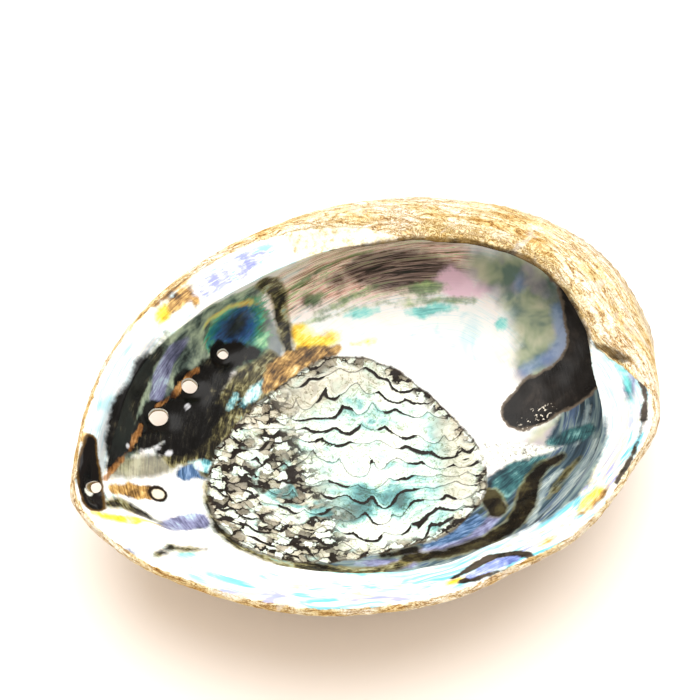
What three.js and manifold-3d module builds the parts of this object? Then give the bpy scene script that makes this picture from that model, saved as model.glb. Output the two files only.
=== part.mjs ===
// An abalone shell lying on its back, with its opening up.
//
// The shell grew as one piece, so it is one closed solid. It is shaped like a ball that has
// been pressed in on one side: the pressed half is the pearly bowl, the fold is the lip, and
// the other half is the crusted back that the shell rests on.
//
// Every cross-section runs from the middle of the bowl to the lip and round to the middle of
// the back. Twenty sections stand round the shell at fixed azimuths, and the surface between
// them is interpolated. Azimuth 0 is +X, the spire end. Azimuth 180 is the front, where the
// row of pores runs out at the lip.
import * as THREE from 'three';
import { mergeVertices } from 'three/addons/utils/BufferGeometryUtils.js';
import Module from 'manifold-3d';

// Driving dimensions, in millimetres.
const WALL = 3;              // thickness of the bowl's wall
const FLOOR_HEIGHT = 4.2;    // the middle of the bowl above the middle of the back
const BOWL_POWER = 2.5;      // how flat the bowl's floor is: 2 is a parabola
const LOWEST = [8, 4];       // where the bowl is deepest, under the shell's centre of mass
const WORN_FLAT = 0.6;       // depth worn off the back where the shell rests
const KEEL_HEIGHT = 2.2;     // the ridge outside that carries the pores
const KEEL_GROOVE = 1.4;     // the groove inside, behind that ridge
const KEEL_WIDTH = 5;
const PORE_RIM = 1.8;        // the raised collar round each pore outside
const SPIRE_HEIGHT = 2.5;
const SPIRE_WIDTH = 13;
const SPIRE_AT = [54, 20];

// Mesh resolution.
const ROUND = 24;            // a quarter of the steps round the shell
const OVER_LIP = 28;         // steps from the bowl over the lip to the back

// One section: the lip's radius and height, how far the ledge inside the lip reaches and
// drops, where the bowl's wall turns into its floor, the wall's lean under the ledge in
// degrees (over 90 is undercut), and how far the back rolls out past the lip.
const SECTIONS = [
  { azimuth: -180, lip: [75.3, 36.0], ledge: [8.0, 4.0], turn: [60.0, 24.0], lean: 50, roll: 1.2 },
  { azimuth: -165, lip: [70.8, 37.2], ledge: [13.0, 6.5], turn: [50.0, 19.5], lean: 62, roll: 1.2 },
  { azimuth: -148, lip: [64.0, 38.0], ledge: [13.5, 7.0], turn: [43.0, 16.5], lean: 68, roll: 1.2 },
  { azimuth: -128, lip: [59.4, 38.3], ledge: [13.0, 7.0], turn: [38.5, 15.0], lean: 72, roll: 1.2 },
  { azimuth: -105, lip: [56.7, 38.5], ledge: [11.0, 6.5], turn: [37.0, 14.0], lean: 76, roll: 1.2 },
  { azimuth: -80, lip: [57.1, 38.5], ledge: [9.8, 6.5], turn: [38.5, 14.0], lean: 78, roll: 1.2 },
  { azimuth: -58, lip: [62.2, 38.3], ledge: [10.0, 6.5], turn: [44.0, 15.0], lean: 78, roll: 1.2 },
  { azimuth: -40, lip: [66.0, 38.0], ledge: [9.5, 6.5], turn: [50.5, 16.0], lean: 84, roll: 1.3 },
  { azimuth: -26, lip: [70.3, 38.0], ledge: [11.5, 5.5], turn: [57.0, 16.5], lean: 98, roll: 2.0 },
  { azimuth: -14, lip: [67.0, 38.5], ledge: [9.5, 4.0], turn: [61.5, 17.0], lean: 122, roll: 7.0 },
  { azimuth: -2, lip: [62.3, 39.8], ledge: [3.6, 2.0], turn: [65.5, 17.5], lean: 140, roll: 16.0 },
  { azimuth: 16, lip: [61.4, 40.5], ledge: [3.0, 2.0], turn: [67.0, 17.5], lean: 150, roll: 18.5 },
  { azimuth: 34, lip: [58.0, 40.5], ledge: [4.2, 2.0], turn: [64.0, 16.5], lean: 150, roll: 17.5 },
  { azimuth: 50, lip: [54.2, 40.3], ledge: [5.4, 2.0], turn: [57.5, 15.0], lean: 146, roll: 15.0 },
  { azimuth: 68, lip: [53.8, 39.8], ledge: [8.2, 2.4], turn: [50.5, 13.5], lean: 130, roll: 9.0 },
  { azimuth: 90, lip: [54.0, 39.2], ledge: [9.1, 2.8], turn: [45.0, 12.5], lean: 114, roll: 4.5 },
  { azimuth: 110, lip: [56.4, 38.7], ledge: [10.2, 3.0], turn: [42.5, 13.0], lean: 100, roll: 2.6 },
  { azimuth: 130, lip: [60.8, 38.2], ledge: [9.5, 3.0], turn: [44.0, 15.0], lean: 86, roll: 1.6 },
  { azimuth: 148, lip: [65.8, 37.6], ledge: [7.2, 3.0], turn: [48.5, 19.0], lean: 70, roll: 1.3 },
  { azimuth: 165, lip: [70.8, 37.0], ledge: [7.8, 3.4], turn: [55.0, 22.5], lean: 58, roll: 1.2 },
];

// The keel: the line that the row of pores follows, from the front round to the spire.
const KEEL_LINE = [
  [-72, 2], [-58.5, 13.5], [-48.5, 23], [-37.5, 31], [-25.5, 38.5], [-8, 45], [11, 48.5], [30, 46.5], [46, 38],
];

// The pores still open, the newest last: place and height in the bowl's wall, bore inside,
// bore outside, and the slope of each bore along X and Y for a millimetre of depth.
const PORES = [
  { at: [-25.7, 38.5, 16.0], inside: 1.7, outside: 1.4, slope: [0.10, 0.42] },
  { at: [-37.4, 31.1, 18.5], inside: 2.5, outside: 2.0, slope: [0.08, 0.42] },
  { at: [-48.5, 23.1, 22.5], inside: 2.9, outside: 2.4, slope: [0.06, 0.42] },
  { at: [-71.6, 3.4, 34.8], inside: 1.9, outside: 1.6, slope: [0.20, 0.42] },
];
const COLLAR_WIDTH = 2.4;    // how far a pore's collar reaches past its bore
const KEEL_FADE = [0.55, 0.95];    // shares of the keel's length between which it dies out

// The edge: how far the widest point lies under the lip where the lip is thin and for each
// millimetre of roll, the inward slope under a thin lip, and the roll that stands plumb.
const LIP_DROP = 1.3;
const ROLL_DROP = 0.9;
const THIN_LIP_SLOPE = 0.72;
const PLUMB_ROLL = 9;

// Handles of the wall's curves, as shares of the straight distance they bridge.
const WALL_FOOT = 0.42;
const WALL_TOP = 0.38;
const FLANK_HANDLE = 0.36;

// Value of one section measure at any azimuth: a cubic that never overshoots its sections.
function measureRound(pick) {
  const count = SECTIONS.length;
  const at = (i) => {
    const turns = Math.floor(i / count);
    const section = SECTIONS[i - turns * count];
    return { x: section.azimuth + 360 * turns, y: pick(section) };
  };
  const chord = (i) => (at(i + 1).y - at(i).y) / (at(i + 1).x - at(i).x);
  const tangent = (i) => {
    const before = chord(i - 1);
    const after = chord(i);
    if (before * after <= 0) return 0;
    const back = at(i).x - at(i - 1).x;
    const ahead = at(i + 1).x - at(i).x;
    const weightBefore = 2 * ahead + back;
    const weightAfter = ahead + 2 * back;
    return (weightBefore + weightAfter) / (weightBefore / before + weightAfter / after);
  };
  return (azimuth) => {
    const x = THREE.MathUtils.euclideanModulo(azimuth + 180, 360) - 180;
    const i = SECTIONS.findLastIndex((section) => section.azimuth <= x);
    const start = at(i);
    const end = at(i + 1);
    const step = end.x - start.x;
    const t = (x - start.x) / step;
    const rise = start.y * (1 + 2 * t) * (1 - t) ** 2 + end.y * t * t * (3 - 2 * t);
    return rise + step * (tangent(i) * t * (1 - t) ** 2 + tangent(i + 1) * t * t * (t - 1));
  };
}

const measures = {
  lipRadius: measureRound((section) => section.lip[0]),
  lipHeight: measureRound((section) => section.lip[1]),
  ledgeReach: measureRound((section) => section.ledge[0]),
  ledgeDrop: measureRound((section) => section.ledge[1]),
  turnRadius: measureRound((section) => section.turn[0]),
  turnHeight: measureRound((section) => section.turn[1]),
  lean: measureRound((section) => section.lean),
  roll: measureRound((section) => section.roll),
};

// The corner points of the section at one azimuth, as (radius, height).
function cornersAt(azimuth) {
  const lip = new THREE.Vector2(measures.lipRadius(azimuth), measures.lipHeight(azimuth));
  const ledge = new THREE.Vector2(lip.x - measures.ledgeReach(azimuth), lip.y - measures.ledgeDrop(azimuth));
  const turn = new THREE.Vector2(measures.turnRadius(azimuth), measures.turnHeight(azimuth));
  const floorSlope = BOWL_POWER * (turn.y - FLOOR_HEIGHT) / turn.x;
  const along = new THREE.Vector2(1, floorSlope).normalize();
  const backTurn = new THREE.Vector2(turn.x + WALL * along.y, turn.y - WALL * along.x);
  const roll = measures.roll(azimuth);
  const widest = new THREE.Vector2(lip.x + roll, lip.y - LIP_DROP - ROLL_DROP * roll);
  const flare = THREE.MathUtils.clamp(1 - roll / PLUMB_ROLL, 0, 1);
  const fall = new THREE.Vector2(-THIN_LIP_SLOPE * flare, -1).normalize();
  const lean = THREE.MathUtils.degToRad(measures.lean(azimuth));
  const under = new THREE.Vector2(Math.cos(lean), Math.sin(lean));
  return { lip, ledge, turn, along, backTurn, widest, fall, under, floorSlope };
}

function offset(point, direction, distance) {
  return point.clone().addScaledVector(direction, distance);
}

// The bowl's wall, from the turn at the floor up to the ledge and out to the lip.
function insideWall({ lip, ledge, turn, along, under }) {
  const reach = ledge.distanceTo(turn);
  const width = lip.x - ledge.x;
  const drop = lip.y - ledge.y;
  const wall = new THREE.CubicBezierCurve(
    turn, offset(turn, along, WALL_FOOT * reach), offset(ledge, under, -WALL_TOP * reach), ledge);
  const shelf = new THREE.CubicBezierCurve(
    ledge,
    new THREE.Vector2(ledge.x + 0.35 * width, ledge.y + 0.2 * drop),
    new THREE.Vector2(lip.x - 0.3 * width, lip.y - 0.1 * drop),
    lip);
  const path = new THREE.CurvePath();
  path.add(wall);
  path.add(shelf);
  return path;
}

// The back, from the lip over its roll and down to the turn under the floor.
function outsideWall({ lip, widest, backTurn, fall, along }) {
  const quarter = 0.5523;    // handle length that makes a cubic a quarter of an ellipse
  const height = lip.y - widest.y;
  const drop = widest.distanceTo(backTurn);
  const rollOver = new THREE.CubicBezierCurve(
    lip,
    new THREE.Vector2(lip.x + quarter * (widest.x - lip.x), lip.y),
    offset(widest, fall, -quarter * height),
    widest);
  const flank = new THREE.CubicBezierCurve(
    widest,
    offset(widest, fall, FLANK_HANDLE * drop),
    offset(backTurn, along, FLANK_HANDLE * drop),
    backTurn);
  const path = new THREE.CurvePath();
  path.add(rollOver);
  path.add(flank);
  return path;
}

// Azimuth in degrees of a point on a square, with its steps even round the square.
function azimuthOnSquare(x, y) {
  if (Math.abs(x) >= Math.abs(y)) {
    const slant = x === 0 ? 0 : 45 * (y / x);
    return x >= 0 ? slant : 180 + slant;
  }
  return (y > 0 ? 90 : 270) - 45 * (x / y);
}

// Radius and height of the shell's surface for one point of the box that it is made from:
// the box's top is the bowl's floor, its sides fold over the lip, and its bottom is the back.
const wallCache = new Map();
function surfaceAt(x, y, z) {
  const azimuth = azimuthOnSquare(x, y);
  const key = azimuth.toFixed(3);
  if (!wallCache.has(key)) {
    const corners = cornersAt(azimuth);
    wallCache.set(key, { corners, inside: insideWall(corners), outside: outsideWall(corners) });
  }
  const { corners, inside, outside } = wallCache.get(key);
  const ring = Math.max(Math.abs(x), Math.abs(y));
  const inward = Math.abs(z) >= 1 - 1e-6 ? (1 - ring * ring) ** 2 : 0;
  let point;
  if (z >= 1 - 1e-6) {
    const rise = corners.turn.y - FLOOR_HEIGHT;
    point = new THREE.Vector2(corners.turn.x * ring, FLOOR_HEIGHT + rise * ring ** BOWL_POWER);
  } else if (z <= -1 + 1e-6) {
    const power = corners.floorSlope * corners.backTurn.x / corners.backTurn.y;
    point = new THREE.Vector2(corners.backTurn.x * ring, corners.backTurn.y * ring ** power);
  } else if (z >= 0) {
    point = inside.getPointAt(1 - z);
  } else {
    point = outside.getPointAt(-z);
  }
  const angle = THREE.MathUtils.degToRad(azimuth);
  return new THREE.Vector3(
    point.x * Math.cos(angle) + inward * LOWEST[0],
    point.x * Math.sin(angle) + inward * LOWEST[1],
    point.y);
}

// A round swelling: 1 at its middle, fading to nothing past its width.
function swelling(distance, width) {
  return Math.exp(-((distance / width) ** 2));
}

// How far the surface stands out from the plain sections: the keel, the collars round the
// pores and the spire. Inside, only the keel's groove is left of them.
const keelCurve = new THREE.SplineCurve(KEEL_LINE.map(([x, y]) => new THREE.Vector2(x, y)));
const keelPoints = keelCurve.getSpacedPoints(60);
function reliefAt(x, y, isInside) {
  const here = new THREE.Vector2(x, y);
  const distances = keelPoints.map((point) => point.distanceTo(here));
  const nearest = distances.indexOf(Math.min(...distances));
  const fade = 1 - THREE.MathUtils.smoothstep(nearest / keelPoints.length, ...KEEL_FADE);
  const keel = fade * swelling(distances[nearest], KEEL_WIDTH);
  if (isInside) return KEEL_GROOVE * keel;
  const collars = PORES.map(({ at, outside }) =>
    swelling(here.distanceTo(new THREE.Vector2(at[0], at[1])), outside + COLLAR_WIDTH));
  const spire = swelling(here.distanceTo(new THREE.Vector2(...SPIRE_AT)), SPIRE_WIDTH);
  return KEEL_HEIGHT * keel + PORE_RIM * Math.max(...collars) + SPIRE_HEIGHT * spire;
}

function plainPositions(geometry) {
  geometry.deleteAttribute('normal');
  geometry.deleteAttribute('uv');
  return mergeVertices(geometry, 1e-5);
}

// The shell before anything is cut from it.
function wholeShell() {
  const geometry = plainPositions(new THREE.BoxGeometry(2, 2, 2, ROUND, ROUND, OVER_LIP));
  const position = geometry.getAttribute('position');
  const box = position.clone();
  for (let i = 0; i < position.count; i += 1) {
    const point = surfaceAt(box.getX(i), box.getY(i), box.getZ(i));
    position.setXYZ(i, point.x, point.y, point.z);
  }
  geometry.computeVertexNormals();
  const normal = geometry.getAttribute('normal');
  for (let i = 0; i < position.count; i += 1) {
    const isInside = box.getZ(i) > 0;
    const settle = Math.min(1, 3 * Math.abs(box.getZ(i)));
    const relief = settle * reliefAt(position.getX(i), position.getY(i), isInside);
    const push = isInside ? -relief : relief;
    position.setXYZ(
      i,
      position.getX(i) + push * normal.getX(i),
      position.getY(i) + push * normal.getY(i),
      position.getZ(i) + push * normal.getZ(i));
  }
  geometry.deleteAttribute('normal');
  return geometry;
}

// A tapered post for one pore, standing through the wall along the pore's slope.
const POST_LENGTH = 24;
const POST_SIDES = 16;
function poreCutter({ at, inside, outside, slope }) {
  const geometry = new THREE.CylinderGeometry(inside, outside, POST_LENGTH, POST_SIDES);
  geometry.rotateX(Math.PI / 2);
  const shear = new THREE.Matrix4().set(
    1, 0, -slope[0], at[0],
    0, 1, -slope[1], at[1],
    0, 0, 1, at[2],
    0, 0, 0, 1);
  geometry.applyMatrix4(shear);
  return plainPositions(geometry);
}

// The block below the back that takes off the worn flat.
function groundBlock() {
  const thickness = 10;
  const geometry = new THREE.BoxGeometry(200, 200, thickness);
  geometry.translate(0, 0, WORN_FLAT - thickness / 2);
  return plainPositions(geometry);
}

const wasm = await Module();
wasm.setup();

function toSolid(geometry) {
  const mesh = new wasm.Mesh({
    numProp: 3,
    vertProperties: new Float32Array(geometry.getAttribute('position').array),
    triVerts: new Uint32Array(geometry.getIndex().array),
  });
  return new wasm.Manifold(mesh);
}

function toGeometry(solid) {
  const mesh = solid.getMesh();
  const geometry = new THREE.BufferGeometry();
  geometry.setAttribute('position', new THREE.BufferAttribute(mesh.vertProperties, 3));
  geometry.setIndex(new THREE.BufferAttribute(mesh.triVerts, 1));
  return geometry;
}

// The finished shell, standing with the middle of its box over the origin.
function shellGeometry() {
  let solid = toSolid(wholeShell());
  for (const pore of PORES) {
    solid = solid.subtract(toSolid(poreCutter(pore)));
  }
  solid = solid.subtract(toSolid(groundBlock()));
  const geometry = toGeometry(solid);
  geometry.computeBoundingBox();
  const { min, max } = geometry.boundingBox;
  geometry.translate(-(min.x + max.x) / 2, -(min.y + max.y) / 2, -min.z);
  geometry.computeVertexNormals();
  return geometry;
}

const shell = new THREE.Mesh(
  shellGeometry(),
  new THREE.MeshStandardMaterial({ color: '#b9c4be', roughness: 0.3, metalness: 0 }));
shell.name = 'shell';

const abalone = new THREE.Group();
abalone.add(shell);

export default abalone;
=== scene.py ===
# %% [markdown]
# # An abalone shell
# The shell lies on its back with its pearly bowl up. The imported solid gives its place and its
# size. This lesson grows a fine surface over that solid, opens the pores, and lays on the
# nacre, the muscle scar, the brown horny layer and the limy crust.

# %% Load the frame
import math

import bpy
import numpy as np
from mathutils import Matrix, Vector, kdtree, noise


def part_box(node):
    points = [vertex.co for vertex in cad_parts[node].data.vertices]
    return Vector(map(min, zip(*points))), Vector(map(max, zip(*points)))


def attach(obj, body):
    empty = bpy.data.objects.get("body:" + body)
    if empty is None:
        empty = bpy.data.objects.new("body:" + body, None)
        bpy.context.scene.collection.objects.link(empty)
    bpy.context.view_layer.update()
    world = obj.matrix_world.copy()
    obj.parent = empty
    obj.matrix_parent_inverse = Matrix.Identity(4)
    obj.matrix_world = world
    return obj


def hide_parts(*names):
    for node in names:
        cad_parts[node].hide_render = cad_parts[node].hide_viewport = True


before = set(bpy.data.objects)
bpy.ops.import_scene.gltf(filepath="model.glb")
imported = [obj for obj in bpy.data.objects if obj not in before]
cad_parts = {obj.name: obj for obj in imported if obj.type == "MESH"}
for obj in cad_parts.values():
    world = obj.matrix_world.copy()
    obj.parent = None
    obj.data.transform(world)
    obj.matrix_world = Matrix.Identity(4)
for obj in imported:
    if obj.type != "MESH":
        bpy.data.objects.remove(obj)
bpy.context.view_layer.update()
MM = 0.001

# %% [markdown]
# ## Camera, floor and light
# The shell is looked down on from its outer lip, about 60 degrees above the table and a
# little towards the front. A long lens from half a metre keeps the oval's proportions.
# White card under and around it and broad soft lights give a bright, shadow-poor picture.

# %% The camera
VIEW_AZIMUTH = math.radians(-21)
VIEW_ELEVATION = math.radians(60)
VIEW_DISTANCE = 520 * MM
LENS = 108

back = Vector((
    math.sin(VIEW_AZIMUTH) * math.cos(VIEW_ELEVATION),
    -math.cos(VIEW_AZIMUTH) * math.cos(VIEW_ELEVATION),
    math.sin(VIEW_ELEVATION)))
right = Vector((math.cos(VIEW_AZIMUTH), math.sin(VIEW_AZIMUTH), 0))
up = back.cross(right)
lip_middle = Vector((-10.7, 0.2, 39.4)) * MM
aim = lip_middle + 4.7 * MM * right + 12.9 * MM * up
eye = lip_middle + VIEW_DISTANCE * back

camera_data = bpy.data.cameras.new("camera")
camera_data.lens = LENS
camera_data.clip_start = 0.01
camera = bpy.data.objects.new("camera", camera_data)
camera.location = eye
camera.rotation_euler = (aim - eye).to_track_quat("-Z", "Y").to_euler()
bpy.context.collection.objects.link(camera)
bpy.context.scene.camera = camera


# %% One helper for nodes
def add_node(tree, kind, inputs=None, **settings):
    """Adds a node; inputs maps a socket's name or number to a value or to another socket."""
    made = tree.nodes.new(kind)
    for name, value in settings.items():
        setattr(made, name, value)
    for name, value in (inputs or {}).items():
        if isinstance(value, bpy.types.NodeSocket):
            tree.links.new(value, made.inputs[name])
        else:
            made.inputs[name].default_value = value
    return made


def linear(hex_colour):
    """sRGB hex to the linear RGBA that Blender's sockets hold."""
    parts = [int(hex_colour[i:i + 2], 16) / 255 for i in (1, 3, 5)]
    bent = [c / 12.92 if c <= 0.04045 else ((c + 0.055) / 1.055) ** 2.4 for c in parts]
    return (*bent, 1.0)


# %% The floor
def new_material(name):
    material = bpy.data.materials.new(name)
    material.use_nodes = True
    material.node_tree.nodes.clear()
    return material, material.node_tree


bpy.ops.object.select_all(action="DESELECT")
bpy.ops.mesh.primitive_plane_add(size=6, location=(0, 0, 0))
floor = bpy.context.object
floor.name = "floor"
card, card_tree = new_material("white_card")
card_surface = add_node(card_tree, "ShaderNodeBsdfDiffuse", {"Color": linear("#fffbf7")})
add_node(card_tree, "ShaderNodeOutputMaterial", {"Surface": card_surface.outputs[0]})
floor.data.materials.append(card)


# %% The lights
def area_light(name, place, size, power, colour="#ffffff"):
    data = bpy.data.lights.new(name, "AREA")
    data.shape = "DISK"
    data.size = size
    data.energy = power
    data.color = linear(colour)[:3]
    light = bpy.data.objects.new(name, data)
    light.location = place
    light.rotation_euler = (-Vector(place)).to_track_quat("-Z", "Y").to_euler()
    bpy.context.collection.objects.link(light)
    return light


area_light("window", (0.18, 0.34, 1.0), 1.4, 14.5)
area_light("ceiling", (0.1, -0.1, 1.1), 1.4, 3.0)
world = bpy.data.worlds.new("white_room")
bpy.context.scene.world = world
world.use_nodes = True
world.node_tree.nodes["Background"].inputs["Color"].default_value = linear("#ffeede")
world.node_tree.nodes["Background"].inputs["Strength"].default_value = 0.82
bpy.context.scene.view_settings.view_transform = "Standard"

# %% [markdown]
# ## The form
# A snail's shell grows at its lip, so any cut across it runs from the floor of the bowl, up
# the wall, out along the ledge, over the lip and back under. That is a ball pressed in on
# one side. It could be sculpted, or lofted from cross-sections. Here a cube is subdivided
# and each of its points is sent to its place: the top becomes the bowl's floor, the sides
# fold over the lip, and the bottom is the back. The sections are the same as the solid's.

# %% The ball before it is pressed
bpy.ops.object.select_all(action="DESELECT")
bpy.ops.mesh.primitive_cube_add(size=2, location=(0, 0, 0))
shell = bpy.context.object
shell.name = "abalone_shell"
shell.data.name = "abalone_shell"
bpy.ops.object.mode_set(mode="EDIT")
bpy.ops.mesh.select_all(action="SELECT")
bpy.ops.mesh.subdivide(number_cuts=31)
bpy.ops.mesh.subdivide(number_cuts=3)
bpy.ops.object.mode_set(mode="OBJECT")


def read_points(mesh, name="position", width=3):
    values = np.empty(len(mesh.vertices) * width)
    if name == "position":
        mesh.vertices.foreach_get("co", values)
    else:
        mesh.vertex_normals.foreach_get("vector", values)
    return values.reshape(-1, width)


box = read_points(shell.data)
print("points on the ball:", len(box))

# %% The sections, in millimetres
WALL = 3.0
FLOOR_HEIGHT = 4.2
BOWL_POWER = 2.5
LOWEST = np.array([8.0, 4.0])
WORN_FLAT = 0.6

# azimuth, lip radius and height, ledge reach and drop, turn radius and height, lean, roll
SECTIONS = np.array([
    (-180, 75.3, 36.0, 8.0, 4.0, 60.0, 24.0, 50, 1.2),
    (-165, 70.8, 37.2, 13.0, 6.5, 50.0, 19.5, 62, 1.2),
    (-148, 64.0, 38.0, 13.5, 7.0, 43.0, 16.5, 68, 1.2),
    (-128, 59.4, 38.3, 13.0, 7.0, 38.5, 15.0, 72, 1.2),
    (-105, 56.7, 38.5, 11.0, 6.5, 37.0, 14.0, 76, 1.2),
    (-80, 57.1, 38.5, 9.8, 6.5, 38.5, 14.0, 78, 1.2),
    (-58, 62.2, 38.3, 10.0, 6.5, 44.0, 15.0, 78, 1.2),
    (-40, 66.0, 38.0, 9.5, 6.5, 50.5, 16.0, 84, 1.3),
    (-26, 70.3, 38.0, 11.5, 5.5, 57.0, 16.5, 98, 2.0),
    (-14, 67.0, 38.5, 9.5, 4.0, 61.5, 17.0, 122, 7.0),
    (-2, 62.3, 39.8, 3.6, 2.0, 65.5, 17.5, 140, 16.0),
    (16, 61.4, 40.5, 3.0, 2.0, 67.0, 17.5, 150, 18.5),
    (34, 58.0, 40.5, 4.2, 2.0, 64.0, 16.5, 150, 17.5),
    (50, 54.2, 40.3, 5.4, 2.0, 57.5, 15.0, 146, 15.0),
    (68, 53.8, 39.8, 8.2, 2.4, 50.5, 13.5, 130, 9.0),
    (90, 54.0, 39.2, 9.1, 2.8, 45.0, 12.5, 114, 4.5),
    (110, 56.4, 38.7, 10.2, 3.0, 42.5, 13.0, 100, 2.6),
    (130, 60.8, 38.2, 9.5, 3.0, 44.0, 15.0, 86, 1.6),
    (148, 65.8, 37.6, 7.2, 3.0, 48.5, 19.0, 70, 1.3),
    (165, 70.8, 37.0, 7.8, 3.4, 55.0, 22.5, 58, 1.2),
])


def measure_round(column, azimuth):
    """One section measure at any azimuth: a cubic that never overshoots its sections."""
    x = np.concatenate([SECTIONS[:, 0] + turn for turn in (-360, 0, 360)])
    y = np.tile(SECTIONS[:, column], 3)
    step = np.diff(x)
    chord = np.diff(y) / step
    before, after = chord[:-1], chord[1:]
    weight_before = 2 * step[1:] + step[:-1]
    weight_after = step[1:] + 2 * step[:-1]
    rising = before * after > 0
    safe_before = np.where(rising, before, 1)
    safe_after = np.where(rising, after, 1)
    mean = (weight_before + weight_after) / (weight_before / safe_before + weight_after / safe_after)
    tangent = np.zeros_like(y)
    tangent[1:-1] = np.where(rising, mean, 0)
    at = (azimuth + 180) % 360 - 180
    i = np.searchsorted(x, at, side="right") - 1
    t = (at - x[i]) / step[i]
    rise = y[i] * (1 + 2 * t) * (1 - t) ** 2 + y[i + 1] * t * t * (3 - 2 * t)
    return rise + step[i] * (tangent[i] * t * (1 - t) ** 2 + tangent[i + 1] * t * t * (t - 1))


# %% The corner points of every section
def azimuth_on_square(x, y):
    """Azimuth in degrees of a point on a square, with its steps even round the square."""
    wide = np.abs(x) >= np.abs(y)
    slant = np.where(wide, y, x) / np.where(wide, np.where(x == 0, 1, x), y)
    along_x = np.where(x >= 0, 0, 180) + 45 * slant
    along_y = np.where(y > 0, 90, 270) - 45 * slant
    return np.where(wide, along_x, along_y)


def unit(radius, height):
    length = np.hypot(radius, height)
    return np.stack([radius / length, height / length], -1)


def corners_at(azimuth):
    lip_r, lip_z, reach, drop, turn_r, turn_z, lean, roll = [
        measure_round(column, azimuth) for column in range(1, 9)]
    slope = BOWL_POWER * (turn_z - FLOOR_HEIGHT) / turn_r
    along = unit(np.ones_like(slope), slope)
    flare = np.clip(1 - roll / 9, 0, 1)
    lean = np.radians(lean)
    return {
        "lip": np.stack([lip_r, lip_z], -1),
        "ledge": np.stack([lip_r - reach, lip_z - drop], -1),
        "turn": np.stack([turn_r, turn_z], -1),
        "back_turn": np.stack([turn_r + WALL * along[:, 1], turn_z - WALL * along[:, 0]], -1),
        "widest": np.stack([lip_r + roll, lip_z - 1.3 - 0.9 * roll], -1),
        "along": along,
        "under": np.stack([np.cos(lean), np.sin(lean)], -1),
        "fall": unit(-0.72 * flare, -np.ones_like(flare)),
        "slope": slope,
        "roll": roll,
    }


# %% Curves between the corners
def cubic(a, b, c, d, steps=40):
    """Points of a cubic curve for every azimuth: azimuths x steps x (radius, height)."""
    t = np.linspace(0, 1, steps)[None, :, None]
    a, b, c, d = [p[:, None, :] for p in (a, b, c, d)]
    return a * (1 - t) ** 3 + 3 * b * t * (1 - t) ** 2 + 3 * c * t * t * (1 - t) + d * t ** 3


def distance(a, b):
    return np.linalg.norm(a - b, axis=-1, keepdims=True)


def inside_wall(c):
    """From the turn at the floor up to the ledge, and out along the ledge to the lip."""
    reach = distance(c["ledge"], c["turn"])
    across = c["lip"] - c["ledge"]
    wall = cubic(c["turn"], c["turn"] + 0.42 * reach * c["along"],
                 c["ledge"] - 0.38 * reach * c["under"], c["ledge"])
    shelf = cubic(c["ledge"], c["ledge"] + across * [0.35, 0.2], c["lip"] - across * [0.3, 0.1], c["lip"])
    return np.concatenate([wall, shelf[:, 1:]], axis=1)


def outside_wall(c):
    """From the lip over the roll and down to the turn under the floor."""
    quarter = 0.5523
    drop = distance(c["widest"], c["back_turn"])
    step = c["widest"] - c["lip"]
    level = np.stack([quarter * step[:, 0], np.zeros(len(step))], -1)
    roll_over = cubic(c["lip"], c["lip"] + level,
                      c["widest"] + quarter * step[:, 1:] * c["fall"], c["widest"])
    flank = cubic(c["widest"], c["widest"] + 0.36 * drop * c["fall"],
                  c["back_turn"] + 0.36 * drop * c["along"], c["back_turn"])
    return np.concatenate([roll_over, flank[:, 1:]], axis=1)


def walk(curves, share):
    """The point a share of the way along each curve, and each curve's length."""
    steps = np.linalg.norm(np.diff(curves, axis=1), axis=-1)
    travelled = np.concatenate([np.zeros((len(curves), 1)), np.cumsum(steps, axis=1)], axis=1)
    length = travelled[:, -1]
    found = np.empty((len(curves), 2))
    for k in range(len(curves)):
        for axis in (0, 1):
            found[k, axis] = np.interp(share[k] * length[k], travelled[k], curves[k, :, axis])
    return found, length


# %% Send every point to its place
azimuth = azimuth_on_square(box[:, 0], box[:, 1])
ring = np.maximum(np.abs(box[:, 0]), np.abs(box[:, 1]))
column_azimuth, column = np.unique(azimuth.round(3), return_inverse=True)
corner = {name: value[column] for name, value in corners_at(column_azimuth).items()}
on_floor = box[:, 2] > 1 - 1e-5
on_back = box[:, 2] < -1 + 1e-5
on_inside_wall = (box[:, 2] >= 0) & ~on_floor
on_outside_wall = (box[:, 2] < 0) & ~on_back

section = np.empty((len(box), 2))
section[on_floor, 0] = corner["turn"][on_floor, 0] * ring[on_floor]
floor_rise = corner["turn"][on_floor, 1] - FLOOR_HEIGHT
section[on_floor, 1] = FLOOR_HEIGHT + floor_rise * ring[on_floor] ** BOWL_POWER
back_turn = corner["back_turn"][on_back]
section[on_back, 0] = back_turn[:, 0] * ring[on_back]
back_power = corner["slope"][on_back] * back_turn[:, 0] / back_turn[:, 1]
section[on_back, 1] = back_turn[:, 1] * ring[on_back] ** back_power

wall_length = np.zeros(len(box))
for where, build, share in (
        (on_inside_wall, inside_wall, 1 - box[:, 2]), (on_outside_wall, outside_wall, -box[:, 2])):
    picked = {name: value[where] for name, value in corner.items()}
    section[where], wall_length[where] = walk(build(picked), share[where])

flat_part = on_floor | on_back
inward = np.where(flat_part, (1 - ring ** 2) ** 2, 0)
angle = np.radians(azimuth)
place = np.stack([
    section[:, 0] * np.cos(angle) + inward * LOWEST[0],
    section[:, 0] * np.sin(angle) + inward * LOWEST[1],
    section[:, 1]], -1)

# %% Seat the form in the frame's box
frame_low, frame_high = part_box("shell")
frame_middle = np.array((frame_low + frame_high) / 2) / MM
own_middle = (place.min(0) + place.max(0)) / 2
seat = np.array([frame_middle[0] - own_middle[0], frame_middle[1] - own_middle[1], -WORN_FLAT])
print("seated by, mm:", seat.round(2), "own size:", np.ptp(place, axis=0).round(1))


def write_points(mesh, points_mm):
    mesh.vertices.foreach_set("co", ((points_mm + seat) * MM).ravel())
    mesh.update()


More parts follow.
